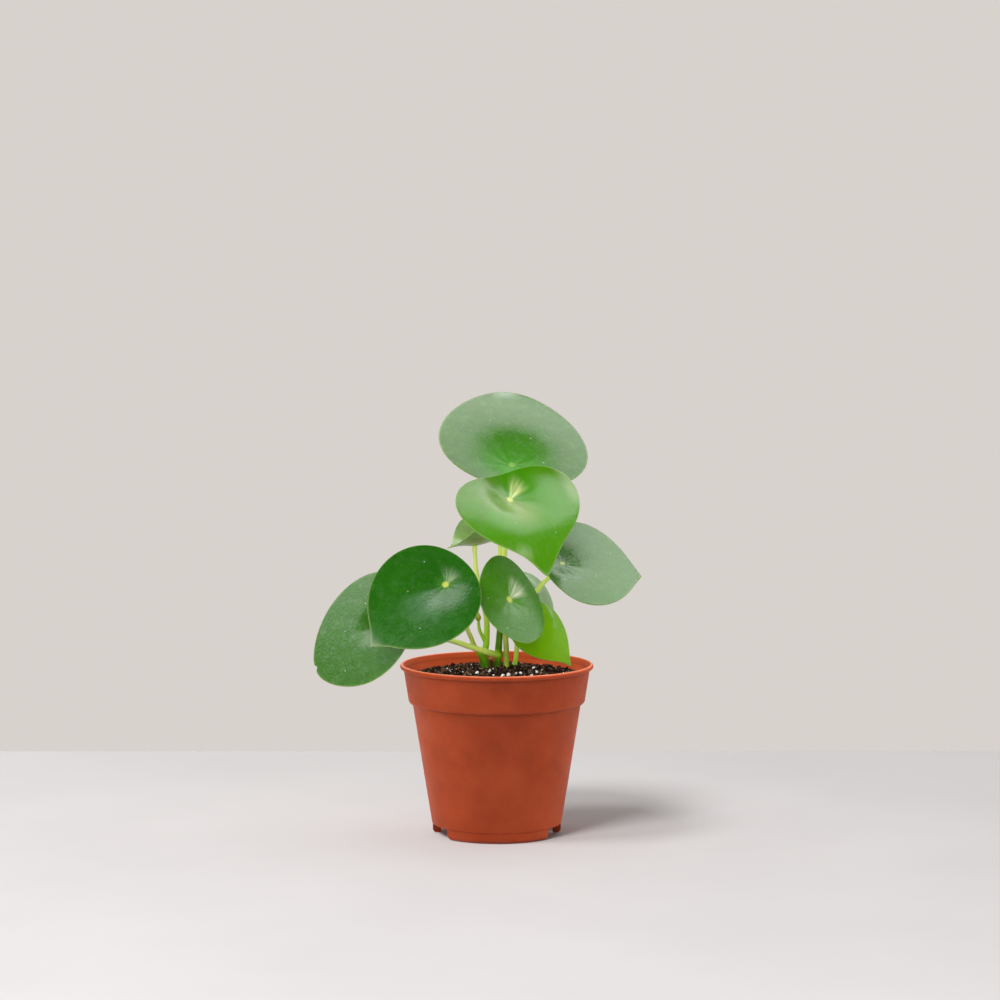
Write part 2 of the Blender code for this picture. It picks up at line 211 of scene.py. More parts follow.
# Painted shade: dark bands in the corners under the lip and under the collar's shoulder.
for corner_height, corner_reach in PAINTED_SHADE_BANDS:
    painted_shade = node(tree, "Math", {0: height, 1: corner_height * MM}, operation="SUBTRACT")
    painted_shade = node(tree, "Math", {0: painted_shade}, operation="ABSOLUTE")
    painted_shade = node(tree, "MapRange",
                 {"Value": painted_shade, "From Max": corner_reach * MM, "To Min": 0.35, "To Max": 0.0}, **EASED)
    body = node(tree, "MixRGB", {"Fac": painted_shade, "Color1": body, "Color2": "#5E1F0C"})
turned = node(tree, "Mapping", {"Vector": place, "Scale": [per(size) for size in MOULD_RINGS]})
rings = node(tree, "TexNoise", {"Vector": turned, "Scale": 1.0, "Detail": 2.0})
grain = node(tree, "TexNoise", {"Vector": place, "Scale": per(PLASTIC_GRAIN), "Detail": 2.0})
relief = node(tree, "Math", {0: rings, 1: 1.6, 2: grain}, operation="MULTIPLY_ADD")
rubbed = node(tree, "TexNoise", {"Vector": place, "Scale": per(RUBBED_PATCHES), "Detail": 5.0})
satin = node(tree, "MapRange",
             {"Value": rubbed, "From Min": 0.3, "From Max": 0.7, "To Min": 0.42, "To Max": 0.58})
bump = node(tree, "Bump", {"Height": relief, "Strength": 0.1, "Distance": 0.0004})
shine = node(tree, "MapRange", {"Value": top_highlight_and_wear, "To Min": 0.2, "To Max": 0.8})
surface(shader, Base_Color=body, Roughness=satin, Specular_IOR_Level=shine, Normal=bump)
scattering(shader, 0.6, (1.6, 0.45, 0.15))

BODY_TOP_RADIUS = COLLAR_FOOT_RADIUS - SHOULDER_ROUND
FLOOR = SKIRT_HEIGHT + WALL
NECK_HEIGHT = POT_HEIGHT - 2 * LIP_ROUND - NECK_ROUND
pot_underside = [
    (0, 0),
    (PAD_RADIUS, 0),
    (PAD_RADIUS + PAD_SPREAD, SKIRT_HEIGHT),
    (SKIRT_RADIUS - SKIRT_THICKNESS, SKIRT_HEIGHT),
    (SKIRT_RADIUS - SKIRT_THICKNESS, 0),
]
pot_outside = [
    *arc((SKIRT_RADIUS - SKIRT_ROUND, SKIRT_ROUND), SKIRT_ROUND, -90, 0, 8),
    (SKIRT_RADIUS, SKIRT_HEIGHT - 0.5),
    *arc((BODY_FOOT_RADIUS - STEP_ROUND, SKIRT_HEIGHT), STEP_ROUND, -80, 10, 4),
    *arc((BODY_TOP_RADIUS, COLLAR_FOOT), SHOULDER_ROUND, -90, 0, 12),
    (COLLAR_TOP_RADIUS, NECK_HEIGHT),
    *arc((COLLAR_TOP_RADIUS + NECK_ROUND, NECK_HEIGHT), NECK_ROUND, 180, 90, 4),
    *arc((RIM_RADIUS - LIP_ROUND, POT_HEIGHT - LIP_ROUND), LIP_ROUND, -90, 90, 16),
]
pot_inside = [
    *arc((RIM_RADIUS - LIP_WIDTH + LIP_EDGE, POT_HEIGHT - LIP_EDGE), LIP_EDGE, 90, 180, 4),
    (COLLAR_TOP_RADIUS - WALL, POT_HEIGHT - LIP_FLARE),
    (COLLAR_FOOT_RADIUS - WALL, COLLAR_FOOT - INNER_DROP),
    (BODY_TOP_RADIUS - WALL, COLLAR_FOOT - SHOULDER_ROUND - INNER_DROP),
    (BODY_FOOT_RADIUS - WALL, FLOOR),
    (PAD_RADIUS + PAD_SPREAD - PAD_WALL, FLOOR),
    (PAD_RADIUS - PAD_WALL, WALL),
    (0, WALL),
]
pot_shell = piece("pot_shell", spun(pot_underside + pot_outside + pot_inside, POT_SIDES), terracotta)

openings = bmesh.new()
for foot_end, stud_end in NOTCHES:
    slant = math.copysign(2 * NOTCH_SLANT, foot_end - stud_end)
    for corner in bmesh.ops.create_cube(openings, size=1)["verts"]:
        radius = NOTCH_OUTSIDE if corner.co.x > 0 else NOTCH_INSIDE
        angle = stud_end
        if corner.co.y > 0:
            angle = foot_end if corner.co.z > 0 else foot_end + slant
        angle = math.radians(angle)
        height = math.copysign(NOTCH_HEIGHT, corner.co.z)
        corner.co = (radius * math.cos(angle), radius * math.sin(angle), height)
for drain in range(DRAIN_COUNT):
    angle = 2 * math.pi * drain / DRAIN_COUNT
    spot = (DRAIN_CIRCLE * math.cos(angle), DRAIN_CIRCLE * math.sin(angle), SKIRT_HEIGHT)
    bmesh.ops.create_cone(openings, cap_ends=True, segments=DRAIN_SIDES, radius1=DRAIN_RADIUS,
                          radius2=DRAIN_RADIUS, depth=4 * WALL, matrix=Matrix.Translation(spot))
bmesh.ops.recalc_face_normals(openings, faces=openings.faces)
cut(pot_shell, piece("pot_openings", openings, terracotta))
pot_shell.data.shade_smooth()
pot_shell.data.set_sharp_from_angle(angle=math.radians(SMOOTH_BELOW))
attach(pot_shell, "root")
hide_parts("pot")


# Soil bed: moist peat and compost that fills the pot to 9 mm below the rim, heaped a little
# towards the stems. Its top is broken into lumps of a few millimetres.
GAP = 0.3
SOIL_EDGE = 97.4
SOIL_HEAP = 5
SOIL_RINGS = 90
SLOPING_GAP = 1.5 * GAP
COLLAR_SLOPE = (COLLAR_TOP_RADIUS - COLLAR_FOOT_RADIUS) / (POT_HEIGHT - COLLAR_FOOT)
SOIL_RADIUS = COLLAR_FOOT_RADIUS - WALL - SLOPING_GAP + COLLAR_SLOPE * (SOIL_EDGE - COLLAR_FOOT)


def soil_height(x, y):
    """Height of the soil's top in millimetres, with its lumps."""
    rise = 1 - (x * x + y * y) / SOIL_RADIUS ** 2
    coarse = 0.7 * math.sin(0.31 * x + 1.1) * math.cos(0.37 * y - 0.4)
    fine = 0.5 * math.sin(0.83 * x - 0.52 * y + 2.3) * math.cos(0.71 * y + 0.35 * x)
    lumps = 0.9 * noise.noise(Vector((0.45 * x, 0.45 * y, 3.0)))
    lumps += 0.5 * noise.noise(Vector((1.1 * x, 1.1 * y, 7.0)))
    return SOIL_EDGE + SOIL_HEAP * rise + coarse + fine + lumps


# Peat is nearly black-brown when moist, with a tan bloom where its fibres have dried.
PEAT_CLODS = 1.923
PEAT_CRUMBS = 2.083
peat, tree, shader, place = new_material("moist_peat")
clods = node(tree, "TexNoise",
             {"Vector": place, "Scale": per(PEAT_CLODS), "Detail": 6.0, "Roughness": 0.65})
crumb = node(tree, "TexVoronoi", {"Vector": place, "Scale": per(PEAT_CRUMBS)}, output="Color")
dried = node(tree, "SeparateColor", {0: crumb})
dark = node(tree, "ValToRGB", {"Fac": clods},
            stops=[(0.4, "#120B08"), (0.55, "#2C1D15"), (0.72, "#5C4534")])
tan = node(tree, "ValToRGB", {"Fac": clods},
           stops=[(0.38, "#3A281D"), (0.55, "#7A604C"), (0.7, "#C2A488")])
share = node(tree, "MapRange", {"Value": dried, "From Min": 0.72, "From Max": 0.8})
blend = node(tree, "MixRGB", {"Fac": share, "Color1": dark, "Color2": tan})
bump = node(tree, "Bump", {"Height": clods, "Strength": 0.8, "Distance": 0.0012})
surface(shader, Base_Color=blend, Roughness=0.9, Specular_IOR_Level=0.1, Normal=bump)

soil_side = [(radius - SLOPING_GAP, height) for radius, height in reversed(pot_inside[6:9])]
soil_side[0] = (soil_side[0][0], FLOOR + GAP)
soil_foot = [
    (0, WALL + GAP),
    (PAD_RADIUS - PAD_WALL - SLOPING_GAP, WALL + GAP),
    (PAD_RADIUS + PAD_SPREAD - PAD_WALL - SLOPING_GAP, FLOOR + GAP),
]
soil_top = [(SOIL_RADIUS * (1 - ring / SOIL_RINGS), SOIL_EDGE) for ring in range(SOIL_RINGS + 1)]
bed = spun(soil_foot + soil_side + soil_top, POT_SIDES)
for vertex in bed.verts:
    if vertex.co.z > SOIL_EDGE - 0.001:
        vertex.co.z = soil_height(vertex.co.x, vertex.co.y)
soil_bed = piece("soil_bed", bed, peat, smooth=60)
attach(soil_bed, "root")
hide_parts("soil")


# Loose crumbs: clods of the same peat, 1 to 3 mm, that lie on the bed up to the pot's wall.
LOOSE_EDGE = SOIL_RADIUS - 2
CRUMB_COUNT = 2600
UNEVEN = 0.22
HANDFUL = 60
scatter = random.Random(11)


def scattered(count, edge):
    """Places on the soil's top, evenly spread out to an edge, in millimetres."""
    for _ in range(count):
        reach = edge * math.sqrt(scatter.random())
        around = scatter.uniform(0, 2 * math.pi)
        x, y = reach * math.cos(around), reach * math.sin(around)
        yield x, y, soil_height(x, y)


def strew(shape, spots, low, high, squash, lumpiness, subdivisions=1):
    """Add a lump at each spot, of a size between two, flattened, turned and made uneven."""
    spots = list(spots)
    for first in range(0, len(spots), HANDFUL):
        handful = bmesh.new()
        for x, y, z in spots[first:first + HANDFUL]:
            size = low * (high / low) ** scatter.random()
            turn = Euler([scatter.uniform(0, 6.28) for _ in range(3)]).to_matrix().to_4x4()
            stretch = Matrix.Diagonal((size, size * scatter.uniform(0.5, 1), size * squash, 1))
            lump = bmesh.ops.create_icosphere(handful, subdivisions=subdivisions, radius=0.5)["verts"]
            for vertex in lump:
                vertex.co *= 1 + scatter.uniform(-lumpiness, lumpiness)
            here = Matrix.Translation((x, y, z + size * squash * 0.2))
            bmesh.ops.transform(handful, matrix=here @ turn @ stretch, verts=lump)
        mesh = bpy.data.meshes.new("handful")
        handful.to_mesh(mesh)
        handful.free()
        shape.from_mesh(mesh)
        bpy.data.meshes.remove(mesh)


loose = bmesh.new()
strew(loose, scattered(CRUMB_COUNT, LOOSE_EDGE), 0.8, 3.2, 0.7, UNEVEN)
soil_crumbs = piece("soil_crumbs", loose, peat, smooth=20)
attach(soil_crumbs, "root")


# Bark: short chips and fibres of composted bark, 1 to 4.5 mm, among the peat. Tan to dark brown,
# with a fine lengthwise fibre.
CHIP_COUNT = 330
BARK_TONES = 6.25
BARK_FIBRES = 0.6667
bark, tree, shader, place = new_material("composted_bark")
tone = node(tree, "TexNoise", {"Vector": place, "Scale": per(BARK_TONES), "Detail": 2.0})
browns = node(tree, "ValToRGB", {"Fac": tone},
              stops=[(0.4, "#2B1A12"), (0.55, "#5B3E2C"), (0.68, "#93765A")])
fibre = node(tree, "TexNoise", {"Vector": place, "Scale": per(BARK_FIBRES), "Detail": 2.0})
bump = node(tree, "Bump", {"Height": fibre, "Strength": 0.6, "Distance": 0.0005})
surface(shader, Base_Color=browns, Roughness=0.85, Normal=bump)

chips = bmesh.new()
for x, y, z in scattered(CHIP_COUNT, LOOSE_EDGE - 1):
    chip = bmesh.ops.create_cube(chips, size=1)["verts"]
    length = scatter.uniform(1.2, 4.5)
    lie = Euler((scatter.uniform(-0.5, 0.5), scatter.uniform(-0.5, 0.5), scatter.uniform(0, 6.28)))
    for vertex in chip:
        vertex.co = [side * scatter.uniform(0.7, 1.1) for side in vertex.co]
    form = Matrix.Diagonal((length, scatter.uniform(0.5, 1.4), scatter.uniform(0.3, 0.8), 1))
    there = Matrix.Translation((x, y, z + 0.5)) @ lie.to_matrix().to_4x4()
    bmesh.ops.transform(chips, matrix=there @ form, verts=chip)
bark_chips = piece("bark_chips", chips, bark, smooth=20)
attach(bark_chips, "root")


# Perlite: white, porous grains of expanded volcanic glass, 0.7 to 4 mm. The larger ones lie where
# the photograph shows them, mostly near the stems' feet, and the finest are strewn over the bed.
PERLITE_PORES = 0.625
PERLITE_DUST = 3.333
FINE_GRAIN_COUNT = 40
perlite, tree, shader, place = new_material("expanded_perlite")
pores = node(tree, "TexVoronoi", {"Vector": place, "Scale": per(PERLITE_PORES)})
dust = node(tree, "TexNoise", {"Vector": place, "Scale": per(PERLITE_DUST), "Detail": 2.0})
white = node(tree, "ValToRGB", {"Fac": dust}, stops=[(0.3, "#E4DED6"), (0.55, "#FCFAF6")])
bump = node(tree, "Bump", {"Height": pores, "Strength": 0.3, "Distance": 0.0003})
surface(shader, Base_Color=white, Roughness=0.8, Normal=bump)

grains = bmesh.new()
LARGE_GRAINS = ((-12.2, -19), (7.2, -28), (22.9, 7))
MIDDLE_GRAINS = ((12.2, -17), (14.8, -15), (3.5, -27), (-4.5, -13), (24.5, -12), (21.4, -22))
SMALL_GRAINS = ((-21, -13), (21, -5), (28, -2), (-2, -26), (8.3, 38), (27.7, 38), (14.8, 18),
                (-19, 27), (-30.7, 7), (36.7, 14), (24, 27))
for spots, low, high in ((LARGE_GRAINS, 3.2, 3.8), (MIDDLE_GRAINS, 2, 2.8), (SMALL_GRAINS, 1.2, 1.8)):
    spots = [(x, y, soil_height(x, y) + 0.7) for x, y in spots]
    strew(grains, spots, low, high, 0.7, UNEVEN, subdivisions=2)
fine_spots = [(x, y, z + 0.4) for x, y, z in scattered(FINE_GRAIN_COUNT, LOOSE_EDGE)]
strew(grains, fine_spots, 0.7, 1.6, 0.8, 0.2, subdivisions=2)
perlite_grains = piece("perlite_grains", grains, perlite, smooth=30)
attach(perlite_grains, "root")


# Leaves: thick, fleshy, shield-shaped blades. Each is a disc spun round the joint of its stalk
# and shaped by one rule: a hollow over the stalk, a drawn-out tip, hanging ends and a waved rim.
# Shallow creases run from the joint along the main veins, and the margin is thin and rounded.
TOP_RINGS = 46
UNDER_RINGS = 22
SPOKES = 160
SPOKE_CROWDING = 0.4
POINTED = (0.3, 1.15)
DRAWN_OUT = (0.3, 1.5)
SHARP = (0.2, 1.1)
ROUNDED = (0.55, 2)
DENT_SPREAD = 0.45
MIDDLE_THICKNESS = 1.2
MARGIN_THICKNESS = 0.7
VEINS = 9
VEIN_BEND = 0.008
FLAT_SHARE = 0.985
UV_MILLIMETRES = 100
blade_edge = [(0.993, 0.06), (0.998, 0.25), (1, 0.5), (0.998, 0.75), (0.993, 0.94)]
blade_outline = [(FLAT_SHARE * ring / TOP_RINGS, 0) for ring in range(TOP_RINGS + 1)]
blade_outline += [(reach, -depth) for reach, depth in blade_edge]
blade_outline += [(FLAT_SHARE * ring / UNDER_RINGS, -1) for ring in range(UNDER_RINGS, -1, -1)]
leaf_at = {}


def blade_frame(at, turn):
    """The matrix from a leaf's own frame, joint at the origin and tip along +X, to the plant's."""
    return Matrix.Translation(at) @ Euler([math.radians(a) for a in turn]).to_matrix().to_4x4()


def blade(name, look, at, turn, length, width, joint, droop, tip=8, egg=0.1, dip=(4, 10), dent=0,
          wave=(0, 0), nose=POINTED, curl=(0, 0, 1), crease=0.1, tear=(0, 1, 0)):
    """A leaf's blade. The values are the CAD leaf's, but for the depth of its creases and a tear."""
    half = length / 2
    middle = half - joint * length
    ahead = length * (1 - joint)
    behind = length * joint
    shape = spun(blade_outline, SPOKES)
    spread = shape.loops.layers.uv.new("leaf_millimetres_over_100")
    rim_share = shape.verts.layers.float.new("reach")
    under_share = shape.verts.layers.float.new("under")
    flat = {}
    for vertex in shape.verts:
        depth = -vertex.co.z
        reach = vertex.co.xy.length
        around = math.atan2(vertex.co.y, vertex.co.x)
        around -= SPOKE_CROWDING * math.sin(around)
        point = tip * math.exp(-(abs(around) / nose[0]) ** nose[1])
        blunt = dent * math.exp(-((abs(around) - math.pi) / DENT_SPREAD) ** 2)
        x = reach * (middle - tip / 2 + (half - tip / 2) * math.cos(around) + blunt)
        x += reach ** 3 * point
        y = reach * width / 2 * math.sin(around) * (1 - egg * math.cos(around))
        torn = (math.degrees(math.remainder(around, 2 * math.pi)) - tear[0]) / tear[1]
        inwards = 1 - tear[2] * reach ** 8 * math.exp(-torn ** 2)
        x *= inwards
        y *= inwards
        z = dip[0] * (1 - math.exp(-(x * x + y * y) / dip[1] ** 2))
        z -= droop[0] * (x / ahead) ** 2 if x > 0 else droop[1] * (x / behind) ** 2
        z -= droop[2] * (2 * y / width) ** 2
        z += wave[0] * reach ** 2 * math.cos(2 * (around - math.radians(wave[1])))
        apart = math.remainder(around - math.radians(curl[1]), 2 * math.pi)
        z += curl[0] * reach ** 4 * math.exp(-(apart / math.radians(curl[2])) ** 2)
        far = math.hypot(x, y)
        course = math.atan2(y, x) + VEIN_BEND * far * math.sin(math.atan2(y, x))
        z += crease * (1 - depth) * math.cos(VEINS * course) * far / 6 * math.exp(-far / 9)
        thickness = MIDDLE_THICKNESS + (MARGIN_THICKNESS - MIDDLE_THICKNESS) * reach ** 3
        vertex.co = (x, y, z - depth * thickness)
        vertex[rim_share] = reach
        vertex[under_share] = depth
        flat[vertex] = (x / UV_MILLIMETRES, y / UV_MILLIMETRES)
    for face in shape.faces:
        for loop in face.loops:
            loop[spread].uv = flat[loop.vert]
    leaf_at[name] = blade_frame(at, turn)
    bmesh.ops.transform(shape, matrix=leaf_at[name], verts=shape.verts)
    made = piece("blade_" + name, shape, look, smooth=60)
    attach(made, "root")
    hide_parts("leaf_" + name)
    return made


# Leaf flesh: a smooth waxy cuticle over green tissue. It is dielectric and softly glossy, the veins
# and the underside are paler, the margin is painted pale as light coming through its thin rim, and
# the joint shows through as a yellow spot. Round the joint a lighter green is painted as a glow,
# and painted highlights, reflections and shade lie on some blades. Clouds of 9 mm mottle it, and
# cells of 2 mm make it leathery. A thin film and specks of lime lie on it.
LEAF_MOTTLE = 9.09
LEAF_CELLS = 2
LEAF_FILM = 5.88
LEAF_SPECKS = 2.857
SPECK_RADIUS = 0.12
SPECK_SHARE = 0.985
STREAKS = 0.3
RAYS_AROUND = 7.0
RAY_LENGTH = 20
DULL_FRAY = 14.0
WAX_IOR = 1.55


def leaf_flesh(name, deep, fresh, glow="#7FB01E", glow_reach=16, glow_ahead=0, spot="#D2DC62",
               spot_reach=2.9, tipward=0.0, film=0.05, vein_share=0.05, painted_light=(),
               roughness=(0.16, 0.26), leather=0.16, dull=None, thinness=0.5):
    """A leaf's material, with lengths in millimetres and angles in degrees.

    The tissue varies from deep to fresh, by tipward more of the fresh green for each millimetre
    towards the tip. Round a point glow_ahead of the joint it is painted with a lighter colour, glow,
    which ends at glow_reach, and the joint's spot ends at spot_reach. Each entry of painted_light is
    (direction, half its spread, distance, breadth, share, colour, how far it breaks up into rays),
    a painted highlight, reflection or shade on the upper side only.
    leather is the relief's strength, dull the distances between which the gloss comes up, and
    thinness the share of the light that enters the flesh.
    """
    made, tree, shader, place = new_material("leaf_cuticle_" + name)
    flat = node(tree, "VectorMath", {0: place.node.outputs["UV"], 3: UV_MILLIMETRES}, operation="SCALE")
    sides = node(tree, "SeparateXYZ", {0: flat}).node.outputs
    far = node(tree, "VectorMath", {0: flat}, operation="LENGTH", output="Value")
    around = node(tree, "Math", {0: sides["Y"], 1: sides["X"]}, operation="ARCTAN2")
    sine = node(tree, "Math", {0: around}, operation="SINE")
    cosine = node(tree, "Math", {0: around}, operation="COSINE")
    reach_bend = node(tree, "Math", {0: far, 1: VEIN_BEND}, operation="MULTIPLY")
    course = node(tree, "Math", {0: reach_bend, 1: sine, 2: around}, operation="MULTIPLY_ADD")

    mottle = node(tree, "TexNoise",
                  {"Vector": flat, "Scale": 1 / LEAF_MOTTLE, "Detail": 5.0, "Roughness": 0.6})
    cells = node(tree, "TexNoise", {"Vector": flat, "Scale": 1 / LEAF_CELLS, "Detail": 3.0})
    rays_at = node(tree, "CombineXYZ", {0: cosine, 1: sine})
    rays_at = node(tree, "VectorMath", {0: rays_at, 3: RAYS_AROUND}, operation="SCALE")
    outwards = node(tree, "Math", {0: far, 1: 1 / RAY_LENGTH}, operation="MULTIPLY")
    outwards = node(tree, "CombineXYZ", {2: outwards})
    rays_at = node(tree, "VectorMath", {0: rays_at, 1: outwards}, operation="ADD")
    rays = node(tree, "TexNoise", {"Vector": rays_at, "Scale": 1.0, "Detail": 3.0})
    tissue = node(tree, "Math", {0: rays, 1: STREAKS, 2: mottle}, operation="MULTIPLY_ADD")
    tissue = node(tree, "Math", {0: sides["X"], 1: tipward, 2: tissue}, operation="MULTIPLY_ADD")
    tissue = node(tree, "MapRange",
                  {"Value": tissue, "From Min": 0.2 + STREAKS * 0.2, "From Max": 0.8 + STREAKS * 0.8})
    greens = node(tree, "MixRGB", {"Fac": tissue, "Color1": deep, "Color2": fresh})

    # Painted glow: round a point ahead of the joint the green turns lighter, to glow.
    glow_distance = node(tree, "VectorMath", {0: flat, 1: (glow_ahead, 0, 0)},
                 operation="DISTANCE", output="Value")
    painted_glow = node(tree, "MapRange", {"Value": glow_distance, "From Min": 2.0, "From Max": glow_reach,
                                     "To Min": 0.75, "To Max": 0.0}, **EASED)
    greens = node(tree, "MixRGB", {"Fac": painted_glow, "Color1": greens, "Color2": glow})

    wave_of = node(tree, "Math", {0: course, 1: VEINS / 2}, operation="MULTIPLY")
    wave_of = node(tree, "Math", {0: wave_of}, operation="SINE")
    wave_of = node(tree, "Math", {0: wave_of}, operation="ABSOLUTE")
    off_vein = node(tree, "Math", {0: wave_of, 1: far}, operation="MULTIPLY")
    vein_line = node(tree, "MapRange", {"Value": off_vein, "From Min": 0.6, "From Max": 3.6,
                                        "To Min": vein_share, "To Max": 0.0}, **EASED)
    fading = node(tree, "MapRange",
                  {"Value": far, "From Min": 6.0, "From Max": 42.0, "To Min": 1.0, "To Max": 0.15})
    vein_line = node(tree, "Math", {0: vein_line, 1: fading}, operation="MULTIPLY")
    greens = node(tree, "MixRGB", {"Fac": vein_line, "Color1": greens, "Color2": "#8DB45A"})

    bloom = node(tree, "TexNoise",
                 {"Vector": flat, "Scale": 1 / LEAF_FILM, "Detail": 8.0, "Roughness": 0.72})
    bloom = node(tree, "MapRange", {"Value": bloom, "From Min": 0.5, "From Max": 0.7, "To Max": film})
    greens = node(tree, "MixRGB", {"Fac": bloom, "Color1": greens, "Color2": "#C4D2BC"})

    under = node(tree, "Attribute", attribute_name="under", output="Fac")
    upper = node(tree, "Math", {0: 1.0, 1: under}, operation="SUBTRACT")
    # Painted light: each mark lays a highlight, a reflection or a shade on the upper side.
    for way, spread_angle, distance, breadth, share, shade, ragged in painted_light:
        aside = node(tree, "Math", {0: around, 1: math.radians(way)}, operation="SUBTRACT")
        aside = node(tree, "Math", {0: aside}, operation="COSINE")
        aside = node(tree, "MapRange",
                     {"Value": aside, "From Min": math.cos(math.radians(spread_angle))}, **EASED)
        span = node(tree, "Math", {0: far, 1: distance}, operation="SUBTRACT")
        span = node(tree, "Math", {0: span}, operation="ABSOLUTE")
        span = node(tree, "MapRange", {"Value": span, "From Max": breadth,
                                       "To Min": share, "To Max": 0.0}, **EASED)
        streaky = node(tree, "MapRange",
                       {"Value": rays, "From Min": 0.36, "From Max": 0.56, "To Min": 1.0 - ragged})
        painted_light_mark = node(tree, "Math", {0: aside, 1: span}, operation="MULTIPLY")
        painted_light_mark = node(tree, "Math", {0: painted_light_mark, 1: streaky}, operation="MULTIPLY")
        painted_light_mark = node(tree, "Math", {0: painted_light_mark, 1: upper}, operation="MULTIPLY")
        greens = node(tree, "MixRGB", {"Fac": painted_light_mark, "Color1": greens, "Color2": shade})
    paler = node(tree, "Math", {0: under, 1: 0.3}, operation="MULTIPLY")
    greens = node(tree, "MixRGB", {"Fac": paler, "Color1": greens, "Color2": "#A4BE88"})

    joint = node(tree, "MapRange", {"Value": far, "From Min": 0.4 * spot_reach, "From Max": spot_reach,
                                    "To Min": 1.0, "To Max": 0.0}, **EASED)
    greens = node(tree, "MixRGB", {"Fac": joint, "Color1": greens, "Color2": spot})

    # Painted light: the margin is mixed towards pale green, as light coming through the thin rim.
    reach = node(tree, "Attribute", attribute_name="reach", output="Fac")
    painted_rim_light = node(tree, "MapRange", {"Value": reach, "From Min": 0.975, "From Max": 0.996, "To Max": 0.35})
    greens = node(tree, "MixRGB", {"Fac": painted_rim_light, "Color1": greens, "Color2": "#B4C67C"})

    dots = node(tree, "TexVoronoi", {"Vector": flat, "Scale": 1 / LEAF_SPECKS}).node.outputs
    near_dot = node(tree, "Math", {0: dots["Distance"], 1: SPECK_RADIUS}, operation="LESS_THAN")
    lottery = node(tree, "SeparateColor", {0: dots["Color"]})
    drawn = node(tree, "Math", {0: lottery, 1: SPECK_SHARE}, operation="GREATER_THAN")
    speck = node(tree, "Math", {0: near_dot, 1: drawn}, operation="MULTIPLY")
    greens = node(tree, "MixRGB", {"Fac": speck, "Color1": greens, "Color2": "#E4EAD8"})

    wax = node(tree, "MapRange", {"Value": mottle, "From Min": 0.3, "From Max": 0.7,
                                  "To Min": roughness[0], "To Max": roughness[1]})
    relief = node(tree, "Math", {0: rays, 1: 0.2, 2: cells}, operation="MULTIPLY_ADD")
    bump = node(tree, "Bump", {"Height": relief, "Strength": leather, "Distance": 0.0006})
    surface(shader, Base_Color=greens, Roughness=wax, IOR=WAX_IOR, Normal=bump)
    if dull:
        uneven = node(tree, "Math", {0: cells, 1: DULL_FRAY, 2: far}, operation="MULTIPLY_ADD")
        shine = node(tree, "MapRange", {"Value": uneven, "From Min": dull[0] + DULL_FRAY / 2,
                                        "From Max": dull[1] + DULL_FRAY / 2,
                                        "To Min": 0.08, "To Max": 0.5}, **EASED)
        surface(shader, Specular_IOR_Level=shine)
    scattering(shader, thinness, (0.5, 0.9, 0.1))
    return made


# Top leaf: the largest, held up and tipped back so that it faces the front. It is dull round the
# joint and mirrors the light towards its rim, and a pale highlight is painted at its tip.
blade("top", leaf_flesh(
    "top", "#34660E", "#457C18", glow="#54A232", glow_reach=34, spot="#86B850", film=0.12,
    roughness=(0.18, 0.28), leather=0.36, dull=(15, 34), painted_light=[(4, 10, 67, 11, 0.34, "#DCE8DC", 0.5)]),
      at=(9.5, 22, 228), turn=(10, -40, 90), length=96, width=94, joint=0.29, droop=(13, 3, 1),
      tip=4, egg=0.14, dip=(9, 19), wave=(2.4, 0), nose=ROUNDED, crease=-0.2)

# Centre leaf: young and vivid, with a raised rim behind the joint and a long hanging tip. Painted on
# it are a broad vivid green of shade behind the joint, a pale fan of highlight by the joint, two
# pale highlight streaks further out and a faint beige painted light beside the joint.
blade("centre", leaf_flesh(
    "centre", "#58880C", "#58A004", glow="#7A9A18", glow_reach=20, glow_ahead=10, thinness=0.8,
    tipward=0.02, roughness=(0.15, 0.25), film=0.09,
    painted_light=[(124, 110, 14, 40, 0.9, "#4C9C02", 0), (88, 24, 45, 9, 0.36, "#DCE2C8", 0),
             (-85, 40, 18, 10, 0.12, "#DCC8B4", 0), (126, 34, 6, 14, 0.95, "#F2F6B4", 1),
             (-20, 11, 41, 7, 0.35, "#D8E8B8", 0.6)]),
      at=(8, -22, 210), turn=(8, 41, -43), length=72, width=94, joint=0.28, droop=(24, 3, 0),
      tip=13, egg=0.12, dip=(7, 17.5), dent=4, wave=(2.4, 5), nose=DRAWN_OUT, curl=(4, 131, 44))

# Left front leaf: old, thick and dark, square to the front, with its tip at the lower left. A pale
# fan of highlight is painted behind the joint, a grey-green reflection ahead of it and a pale
# highlight at the tip.
blade("left_front", leaf_flesh(
    "left_front", "#1C5E02", "#267006", glow="#3F8420", glow_reach=9, thinness=0.3, vein_share=0.03,
    roughness=(0.2, 0.32), leather=0.3,
    painted_light=[(-167, 60, 4, 9, 0.4, "#E4EED0", 1), (14, 42, 19, 19, 0.25, "#8FB096", 0.6),
             (0, 14, 62, 11, 0.5, "#D4E0C4", 0.4)]),
      at=(-31, -42, 160), turn=(-43, 38, -161), length=78, width=73, joint=0.23, droop=(2, 0, 0),
      tip=8.5, egg=0.01, dip=(5.5, 14), wave=(2.6, 57), nose=SHARP)

# Left back leaf: old and veined, hanging out over the left of the pot, its tip torn.
blade("left_back", leaf_flesh(
    "left_back", "#336C14", "#417C1C", glow="#4E8A30", glow_reach=9, roughness=(0.24, 0.36),
    film=0.14, leather=0.28),
      at=(-71, -12, 130), turn=(-45, 41, 170), length=80, width=82, joint=0.39, droop=(1, 1, -2),
      tip=3.5, egg=0.11, dip=(7, 8.5), wave=(2.2, -27), nose=ROUNDED, tear=(-5, 2.6, 0.035))

